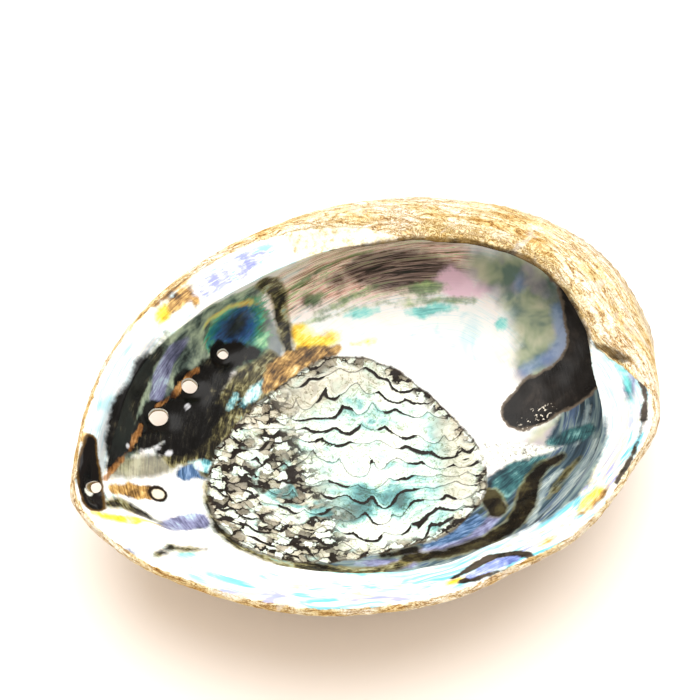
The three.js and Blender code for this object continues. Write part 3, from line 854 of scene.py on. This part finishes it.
object_place = node("ShaderNodeTexCoord").outputs["Object"]
flow_place = node("ShaderNodeAttribute", attribute_name="flow").outputs["Vector"]
long_flow = node("ShaderNodeVectorMath", {0: flow_place, 1: (0.4, 0.4, 1.0)}, operation="MULTIPLY").outputs[0]


def speckle(size_mm, detail=2.0, roughness=0.5, distortion=0.0, where=None):
    """Noise with swells about size_mm apart: its value from 0 to 1."""
    scale = (1000 if where is None else 1) / size_mm
    return node("ShaderNodeTexNoise", {
        "Vector": object_place if where is None else where, "Scale": scale, "Detail": detail,
        "Roughness": roughness, "Distortion": distortion}).outputs["Fac"]


def cut(value, low, high):
    """0 below low and 1 above high, with a smooth change between."""
    return node("ShaderNodeMapRange", {"Value": value, "From Min": low, "From Max": high},
                interpolation_type="SMOOTHSTEP").outputs["Result"]


def blend_colour(base, layer, mask, blend_type="MIX"):
    mix = node("ShaderNodeMix", {"Factor": mask, 6: base, 7: layer}, data_type="RGBA", blend_type=blend_type)
    return mix.outputs[2]


def ramp(value, *stops):
    made = node("ShaderNodeValToRGB", {"Fac": value})
    elements = made.color_ramp.elements
    while len(elements) < len(stops):
        elements.new(0.5)
    for element, (position, colour) in zip(elements, stops):
        element.position = position
        element.color = linear(colour)
    return made.outputs["Color"]


# %% Noises that several finishes share
crust_flow = node("ShaderNodeVectorMath", {0: flow_place, 1: (0.9, 0.9, 0.40)}, operation="MULTIPLY").outputs[0]
wobble_fine = maths("SUBTRACT", speckle(2.2, 4.0, 0.6), 0.5)
wobble_wide = maths("SUBTRACT", speckle(9.0, 2.0), 0.5)
streaks = speckle(3.0, 5.0, 0.62, 0.6, flow_place)
streaks_broad = speckle(11.0, 3.0, 0.5, 0.8, flow_place)
long_streaks = speckle(3.4, 4.0, 0.62, 1.3, long_flow)
mottle = speckle(5.5, 4.0, 0.55, 0.35)
mixed = maths("MULTIPLY_ADD", streaks, 0.4, maths("MULTIPLY", mottle, 0.6))


def bent_field(name, fine=2.2, wide=3.0):
    """A field, its border bent by the shared noises."""
    bent = maths("MULTIPLY_ADD", wobble_fine, fine, read(name))
    return maths("MULTIPLY_ADD", wobble_wide, wide, bent)


def patch(name, soft=0.5, fine=2.2, wide=3.0):
    return cut(bent_field(name, fine, wide), -soft, soft)


# %% Nacre
tint = ramp(speckle(13, 3.0, 0.55, 0.8),
            (0.28, "#d3edf4"), (0.38, "#f9fdfd"), (0.50, "#ffffff"), (0.60, "#fffafa"),
            (0.68, "#fafaec"), (0.78, "#e6e9fb"))
sheen_lines = ramp(long_streaks, (0.33, "#3fc4e2"), (0.42, "#b9e9f1"), (0.49, "#ffffff"), (0.57, "#ffffff"), (0.66, "#e9edc0"))
separate = node("ShaderNodeSeparateXYZ", {0: object_place})
near_side = cut(separate.outputs["Y"], -0.015, -0.040)
on_ledge = cut(read("from_lip"), -14.0, -9.0)
colour = blend_colour(tint, sheen_lines, maths("MULTIPLY_ADD", on_ledge, 0.25, 0.25), "MULTIPLY")
ledge_blush = ramp(speckle(7.0, 3.0, 0.6, 0.8, crust_flow), (0.38, "#6cc8de"), (0.44, "#b9e6ee"), (0.49, "#eefaf8"), (0.55, "#ffffff"), (0.60, "#dfdfc0"),
                   (0.67, "#aeb1e4"))
blush_share = maths("MULTIPLY", on_ledge, maths("MULTIPLY_ADD", near_side, 0.60, 0.35))
colour = blend_colour(colour, ledge_blush, blush_share, "MULTIPLY")

# %% Cover the nacre with one finish after another


def cover(name, finish, soft=0.5, fine=2.2, wide=3.0, strength=1.0):
    """Lays a finish over all the earlier ones where its field is more than 0."""
    mask = patch(name, soft, fine, wide)
    if strength < 1:
        mask = maths("MULTIPLY", mask, strength)
    return blend_colour(colour, finish, mask), mask


mauve_finish = ramp(long_streaks, (0.36, "#5d7046"), (0.42, "#b08f76"), (0.47, "#f0c0b0"), (0.52, "#ffe6de"),
                    (0.56, "#fff6dc"), (0.61, "#9dbd76"), (0.68, "#e9c0b4"))
colour, _ = cover("mauve", mauve_finish, 2.4, 3.0, 4.0)
shadow_finish = ramp(long_streaks, (0.40, "#141512"), (0.47, "#3f3733"), (0.53, "#7b655e"), (0.59, "#ab9186"), (0.65, "#76885f"))
colour, _ = cover("mauve_shadow", shadow_finish, 1.6, 3.0, 3.0, 0.94)
colour, _ = cover("pink_gleam", linear("#f9d3ea"), 1.2, 3.0, 3.0, 0.9)
green_finish = ramp(mixed, (0.35, "#35533a"), (0.5, "#6f9464"), (0.62, "#b5cf8f"))
colour, _ = cover("green", green_finish, 0.7, 2.4, 1.5, 0.85)
pastel_finish = ramp(speckle(9, 3.0, 0.5, 0.4), (0.36, "#6c8278"), (0.48, "#a3ae92"), (0.62, "#c8c9b0"))
lilac_share = maths("MULTIPLY", cut(speckle(12.0, 2.0), 0.50, 0.60), 0.6)
pastel_finish = blend_colour(pastel_finish, linear("#a99bb6"), lilac_share)
colour, _ = cover("pastel", pastel_finish, 2.6, 2.0, 6.0)
# painted shade under the ledge, laid over the pastel pearl
colour, _ = cover("pastel_painted_shade", ramp(mottle, (0.4, "#46555a"), (0.6, "#77878c")), 2.0, 2.4, 4.0, 0.85)
colour, _ = cover("pastel_blue", ramp(mottle, (0.4, "#5f7fae"), (0.6, "#8fa6c9")), 1.4, 2.4, 2.0, 0.8)

# %% Slate pearl and its bands
slate_finish = ramp(streaks_broad, (0.30, "#202c33"), (0.42, "#374a58"), (0.49, "#556972"), (0.56, "#7e918e"),
                    (0.64, "#4a5e7c"), (0.74, "#33413c"))
colour, _ = cover("slate", slate_finish, 0.9, 2.2, 2.0)
colour, _ = cover("slate_light", ramp(streaks, (0.35, "#64777f"), (0.5, "#8d9ea2"), (0.65, "#b7c4c0")), 0.5, 1.6, 1.5)
colour, _ = cover("blue", ramp(streaks, (0.35, "#2c4460"), (0.5, "#4a6a92"), (0.65, "#7d9ac0")), 0.6, 2.0, 1.5)
colour, _ = cover("teal", ramp(mixed, (0.36, "#13262e"), (0.47, "#27434b"), (0.56, "#3b6a6e"), (0.68, "#8dbdbb")), 0.7, 2.2, 2.0)
colour, _ = cover("dusk", ramp(mottle, (0.34, "#232b2b"), (0.45, "#56655f"), (0.54, "#8b9b8a"), (0.66, "#bccdb0")), 0.8, 2.0, 2.0)
colour, _ = cover("lavender", ramp(mixed, (0.38, "#454861"), (0.47, "#6d7091"), (0.55, "#9398bd"), (0.64, "#b9d3e0")), 0.7, 1.8, 1.2)
colour, _ = cover("cyan", ramp(mixed, (0.38, "#3fb2b0"), (0.5, "#7fdfdc"), (0.62, "#c3f2ea")), 0.7, 2.4, 1.5, 0.9)
# painted shade, a flat grey
colour, _ = cover("grey_painted_shade", linear("#8b939a"), 1.6, 1.0, 1.0, 0.8)

# %% The peacock eye
eye_reach = maths("MULTIPLY_ADD", wobble_fine, 4.5, read("peacock"))
eye_reach = maths("MULTIPLY_ADD", maths("SUBTRACT", streaks, 0.5), 9.0, eye_reach)
eye_share = maths("MULTIPLY", eye_reach, 0.115)
eye_colour = ramp(eye_share, (0.0, "#6f7f74"), (0.08, "#86b58c"), (0.17, "#5fc0a0"), (0.28, "#3b8f8c"),
                  (0.40, "#2a6f8f"), (0.55, "#2d5c9c"), (0.70, "#21365c"), (0.88, "#0d141c"))
eye_colour = blend_colour(eye_colour, ramp(streaks, (0.36, "#1d2b2c"), (0.46, "#9fb3ad"), (0.55, "#ffffff")), 0.7, "MULTIPLY")
colour = blend_colour(colour, eye_colour, maths("MULTIPLY", cut(eye_reach, -0.6, 1.2), 0.92))
green_ring = ramp(mixed, (0.42, "#245a4c"), (0.48, "#4f9f7c"), (0.54, "#93d3a0"), (0.60, "#c9efc0"))
colour, _ = cover("peacock_green", green_ring, 0.9, 3.2, 1.5, 0.85)
colour, _ = cover("peacock_arc", ramp(mixed, (0.4, "#d08c3a"), (0.5, "#f0cf6a"), (0.6, "#cfe08a")), 0.8, 2.4, 1.5, 0.9)

# %% Amber, brown and black layers
colour, _ = cover("amber", ramp(mixed, (0.36, "#b9791a"), (0.44, "#f2c42a"), (0.52, "#ffe75a"), (0.62, "#fff9c0")), 0.9, 2.4, 1.5)
colour, _ = cover("olive_haze", ramp(mixed, (0.38, "#4c4a38"), (0.5, "#77745a"), (0.62, "#a9a88a")), 1.2, 2.4, 2.0, 0.9)
olive_field = bent_field("olive", 2.2, 2.0)
olive_rim = ramp(mottle, (0.4, "#57542c"), (0.6, "#8d8140"))
colour = blend_colour(colour, olive_rim, maths("MULTIPLY", cut(olive_field, -0.8, 0.2), 0.6))
olive_finish = ramp(mixed, (0.40, "#11100c"), (0.46, "#2b281c"), (0.51, "#545034"), (0.55, "#857f58"), (0.59, "#a9ab88"),
                    (0.64, "#7fa59c"))
colour = blend_colour(colour, olive_finish, cut(olive_field, -0.1, 0.9))
bark_field = bent_field("bark", 1.8, 1.6)
colour = blend_colour(colour, olive_rim, maths("MULTIPLY", cut(bark_field, -0.9, 0.1), 0.5))
bark_finish = ramp(mottle, (0.38, "#0f0d09"), (0.50, "#241f14"), (0.62, "#454028"))
colour = blend_colour(colour, bark_finish, cut(bark_field, -0.1, 0.7))
highlight_finish = ramp(mixed, (0.42, "#3f7f8a"), (0.48, "#93cfd6"), (0.54, "#d9f6f2"), (0.60, "#b9c2ea"))
colour, _ = cover("highlight", highlight_finish, 0.6, 2.6, 1.5)
colour, _ = cover("umber", ramp(mixed, (0.38, "#33271a"), (0.45, "#6f5430"), (0.51, "#a9834b"), (0.57, "#dcb971"), (0.65, "#f8ebc4")), 0.6, 2.2, 1.5)
horn_finish = ramp(mixed, (0.40, "#020303"), (0.49, "#090a0b"), (0.56, "#191917"), (0.62, "#3b382b"), (0.71, "#8b8568"))
colour, horn_mask = cover("horn", horn_finish, 0.8)
charcoal_finish = ramp(mottle, (0.35, "#0f0d0c"), (0.55, "#1c1917"), (0.72, "#332d29"))
charcoal_field = bent_field("charcoal", 1.6, 4.0)
colour = blend_colour(colour, linear("#6f6457"), cut(charcoal_field, -0.5, 0.1))
colour = blend_colour(colour, charcoal_finish, cut(charcoal_field, 0.0, 0.9))
specks = cut(speckle(0.9, 2.0), 0.60, 0.66)
colour = blend_colour(colour, linear("#e9e2d2"), maths("MULTIPLY", specks, patch("charcoal_specks", 1.0)))

# %% Round the pores
colour, _ = cover("pore_dark", linear("#070605"), 0.6, 2.0, 1.0)
colour, _ = cover("rope", ramp(mixed, (0.40, "#3b2210"), (0.5, "#8f5f30"), (0.60, "#cf9d63")), 0.4, 2.6, 1.6, 0.9)
colour, _ = cover("bump_gleam", linear("#c9ccd2"), 0.3, 0.8, 0.3)

# %% The ledge's marks
colour, _ = cover("ledge_mark", ramp(mottle, (0.4, "#1d1813"), (0.6, "#4b4238")), 0.35, 1.8, 0.8)
ledge_pale_finish = ramp(mixed, (0.43, "#8f98dc"), (0.48, "#c3cdf6"), (0.52, "#e6f2fb"), (0.57, "#93d8e6"))
colour, _ = cover("ledge_pale", ledge_pale_finish, 0.5, 2.0, 1.5, 0.9)
ledge_blue_finish = ramp(mixed, (0.38, "#5568a8"), (0.48, "#8fa2e6"), (0.56, "#c9d6ff"), (0.66, "#b9efff"))
colour, _ = cover("ledge_blue", ledge_blue_finish, 0.4, 1.8, 1.0)
gloss_field = bent_field("black_gloss", 1.2, 1.0)
colour = blend_colour(colour, linear("#5b431c"), cut(gloss_field, -0.5, 0.2))
colour = blend_colour(colour, linear("#0b0808"), cut(gloss_field, 0.0, 0.9))
colour, _ = cover("blister_ring", linear("#1f150c"), 0.3, 1.0, 0.5)
colour, _ = cover("blister", linear("#ece3c8"), 0.25, 0.8, 0.5)
colour, _ = cover("white_tip", linear("#dfe6dc"), 0.25, 0.8, 0.5)
callus_finish = ramp(speckle(1.6, 4.0, 0.7), (0.36, "#c4b48c"), (0.45, "#f2e8c6"), (0.54, "#fdf7de"), (0.66, "#fffdf0"))
colour, callus_mask = cover("callus", callus_finish, 0.8, 2.0, 2.0)

# %% The muscle scar
LUMP_SCALE = 1000 / 2.5
scar_field = bent_field("scar", 1.6, 0.6)
scar_mask = cut(scar_field, -0.4, 0.4)
rim = cut(maths("MULTIPLY_ADD", wobble_wide, 9.0, read("scar")), 4.0, 1.5)
left_side = cut(separate.outputs["X"], -0.008, -0.021)
lumpy = maths("MAXIMUM", rim, maths("MULTIPLY", left_side, cut(speckle(7, 2.0), 0.36, 0.46)))
shaken = node("ShaderNodeTexNoise", {"Vector": object_place, "Scale": 500.0, "Detail": 2.0}).outputs["Color"]
shaken = node("ShaderNodeVectorMath", {0: shaken, 1: (0.0032, 0.0032, 0.0032), 2: object_place},
              operation="MULTIPLY_ADD").outputs[0]
shaken = node("ShaderNodeVectorMath", {0: shaken, 1: (0.75, 1.0, 1.0)}, operation="MULTIPLY").outputs[0]
lumps = node("ShaderNodeTexVoronoi", {"Vector": shaken, "Scale": LUMP_SCALE})
lump_offset = node("ShaderNodeVectorMath", {0: shaken, 1: lumps.outputs["Position"]}, operation="SUBTRACT").outputs[0]
lump_low = maths("MULTIPLY", node("ShaderNodeSeparateXYZ", {0: lump_offset}).outputs["Y"], -LUMP_SCALE)
lump_reach = lumps.outputs["Distance"]
# painted shade on the lower side of each lump
lump_shade = cut(maths("MULTIPLY_ADD", lump_low, 0.45, lump_reach), 0.58, 0.70)
level = maths("MULTIPLY_ADD", wobble_fine, 0.20, read("terrace"))
level_share = maths("FRACT", level)
to_edge = maths("DIVIDE", maths("SUBTRACT", 1.0, level_share), read("steepness"))
line_width = maths("MULTIPLY_ADD", read("terrace_strength"), 0.80, maths("MULTIPLY", wobble_wide, 1.6))
# painted shade in the crease at the foot of each terrace's edge
terrace_edge_shade = maths("MULTIPLY", cut(maths("SUBTRACT", line_width, to_edge), -0.1, 0.25),
                  cut(read("terrace_strength"), 0.1, 0.4))
past_edge = maths("DIVIDE", level_share, read("steepness"))
# a fainter, wider band of painted shade before each edge
faint_edge_shade = maths("MULTIPLY", cut(to_edge, 0.42, 0.12), 0.65)
scar_shade = maths("MAXIMUM", terrace_edge_shade, maths("MULTIPLY", lump_shade, lumpy))
scar_shade = maths("MAXIMUM", scar_shade, faint_edge_shade)
grain = speckle(1.1, 4.0, 0.7, 0.5)
striae = speckle(1.3, 4.0, 0.6, 0.6, node("ShaderNodeCombineXYZ", {
    "X": maths("MULTIPLY", separate.outputs["X"], 130.0), "Y": maths("MULTIPLY", level, 5.0)}).outputs[0])
teal_share = patch("scar_teal", 3.0, 3.0, 6.0)
tone = maths("MULTIPLY_ADD", maths("SUBTRACT", speckle(12.0, 3.0, 0.5, 0.5), 0.5), 1.4, 0.22)
tone = maths("MULTIPLY_ADD", cut(past_edge, 0.8, 4.5), 0.16, tone)
tone = maths("MULTIPLY_ADD", maths("SUBTRACT", striae, 0.5), 0.8, tone)
tone = maths("MULTIPLY_ADD", teal_share, 0.46, tone)
beige_share = patch("scar_beige", 3.0, 3.0, 6.0)
scar_base = ramp(tone, (0.0, "#fbfff6"), (0.22, "#e9f8ef"), (0.38, "#c6e8e0"), (0.54, "#8fc4c2"), (0.70, "#649a9d"), (0.88, "#4f6d6c"))
lump_tone = node("ShaderNodeSeparateColor", {0: lumps.outputs["Color"]}).outputs[0]
# each lump's own random tone, darker towards its border as painted shade in the crevices
lump_tone = maths("MULTIPLY_ADD", lump_reach, 0.35, maths("MULTIPLY", lump_tone, 0.75))
rim_base = ramp(lump_tone, (0.10, "#fbfff8"), (0.30, "#dcebe2"), (0.48, "#cdc9b6"), (0.66, "#a39a86"), (0.86, "#6a5f50"))
beige = ramp(striae, (0.35, "#9c917c"), (0.5, "#d2c9b4"), (0.65, "#eee9dc"))
scar_base = blend_colour(scar_base, beige, maths("MULTIPLY", beige_share, 0.75))
scar_colour = blend_colour(scar_base, rim_base, maths("MULTIPLY", lumpy, 0.9))
scar_grain = ramp(grain, (0.32, "#8a8071"), (0.40, "#e3dfd2"), (0.46, "#ffffff"), (0.7, "#ffffff"))
scar_colour = blend_colour(scar_colour, scar_grain, 0.6, "MULTIPLY")
curl_ridge = maths("ABSOLUTE", maths("SUBTRACT", speckle(4.2, 3.0, 0.55, 1.6), 0.5))
curls = ramp(curl_ridge, (0.0, "#7c7a60"), (0.008, "#b9bd9c"), (0.022, "#ffffff"))
scar_colour = blend_colour(scar_colour, curls, 0.75, "MULTIPLY")
# lay the painted shade of the terrace edges and the lumps
scar_colour = blend_colour(scar_colour, linear("#1a130d"), scar_shade)
scar_outline = maths("MULTIPLY", cut(scar_field, -0.3, 0.1), cut(scar_field, 0.9, 0.4))
scar_colour = blend_colour(scar_colour, linear("#33261a"), maths("MULTIPLY", scar_outline, 0.7))
colour = blend_colour(colour, scar_colour, scar_mask)
tail_mask = patch("tail", 0.8, 2.5, 2.5)
tail_finish = ramp(grain, (0.34, "#5c5648"), (0.42, "#c9cdbf"), (0.50, "#f4f8ee"), (0.7, "#ffffff"))
colour = blend_colour(colour, tail_finish, maths("MULTIPLY", tail_mask, 0.85))

# %% The limy crust
crust_lines_noise = speckle(5.0, 5.0, 0.65, 1.2, crust_flow)
worm = speckle(2.2, 3.0, 0.6, 2.0)
worm_ridge = maths("ABSOLUTE", maths("SUBTRACT", worm, 0.5))
long_ridge = maths("ABSOLUTE", maths("SUBTRACT", crust_lines_noise, 0.5))
crust_base = ramp(speckle(9.0, 3.0, 0.5, 0.6, crust_flow), (0.34, "#dcbd7c"), (0.42, "#f7eabc"), (0.50, "#fdf8de"),
                  (0.60, "#fffdf2"), (0.72, "#efdaa2"))
crust_colour = blend_colour(crust_base, ramp(long_ridge, (0.0, "#4d361b"), (0.010, "#b98f55"), (0.026, "#f4e3bd"), (0.06, "#ffffff")), 0.9, "MULTIPLY")
crust_colour = blend_colour(crust_colour, ramp(worm_ridge, (0.0, "#8d6a3a"), (0.02, "#e2c68e"), (0.05, "#ffffff")), 0.65, "MULTIPLY")
gold_finish = ramp(worm_ridge, (0.0, "#573c18"), (0.02, "#a9803c"), (0.06, "#e2c27a"), (0.15, "#f8e8b4"))
crust_colour = blend_colour(crust_colour, gold_finish, maths("MULTIPLY", patch("gold", 1.2, 2.5, 6.0), 0.65))
lime = cut(speckle(10, 4.0, 0.6, 1.0), 0.56, 0.66)
crust_colour = blend_colour(crust_colour, linear("#efe9dc"), maths("MULTIPLY", lime, 0.5))
old_grey = cut(maths("MULTIPLY_ADD", wobble_wide, 14.0, read("from_lip")), 12.0, 24.0)
crust_colour = blend_colour(crust_colour, ramp(mottle, (0.4, "#6f665e"), (0.6, "#a39a8f")), maths("MULTIPLY", old_grey, 0.6))
crust_field = maths("MULTIPLY_ADD", wobble_fine, 1.6, read("crust"))
crust_mask = cut(crust_field, -0.15, 0.25)
colour = blend_colour(colour, crust_colour, crust_mask)
# painted shadow under the crust's inner edge, and the real brown lobe
colour, _ = cover("crust_shadow_and_lobe", ramp(mottle, (0.4, "#2b2115"), (0.6, "#6e5527")), 0.6, 2.0, 1.5, 0.9)

# %% Gloss and fine relief
matte = maths("MAXIMUM", crust_mask, maths("MULTIPLY", scar_mask, 0.35))
roughness = maths("MULTIPLY_ADD", matte, 0.55, 0.18)
relief_height = maths("MULTIPLY", streaks, 0.08)
relief_height = maths("MULTIPLY_ADD", maths("MULTIPLY", grain, scar_mask), 0.45, relief_height)
relief_height = maths("MULTIPLY_ADD", maths("MULTIPLY", maths("MULTIPLY", lump_reach, lumpy), scar_mask), -0.6, relief_height)
relief_height = maths("MULTIPLY_ADD", maths("MULTIPLY", scar_shade, scar_mask), -0.6, relief_height)
relief_height = maths("MULTIPLY_ADD", maths("MULTIPLY", cut(worm_ridge, 0.0, 0.10), crust_mask), 0.4, relief_height)
relief_height = maths("MULTIPLY_ADD", maths("MULTIPLY", cut(long_ridge, 0.0, 0.10), crust_mask), 0.5, relief_height)
bump = node("ShaderNodeBump", {"Height": relief_height, "Strength": 0.7, "Distance": 0.6 * MM})
surface = node("ShaderNodeBsdfPrincipled", {
    "Base Color": colour, "Roughness": roughness, "Normal": bump.outputs[0], "IOR": 1.53,
    "Specular IOR Level": 0.15})
node("ShaderNodeOutputMaterial", {"Surface": surface.outputs[0]})
shell.data.materials.clear()
shell.data.materials.append(pearl)

# %% [markdown]
# ## Hand over
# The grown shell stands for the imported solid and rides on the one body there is.

# %% Ride, replace and finish
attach(shell, "root")
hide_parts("shell")
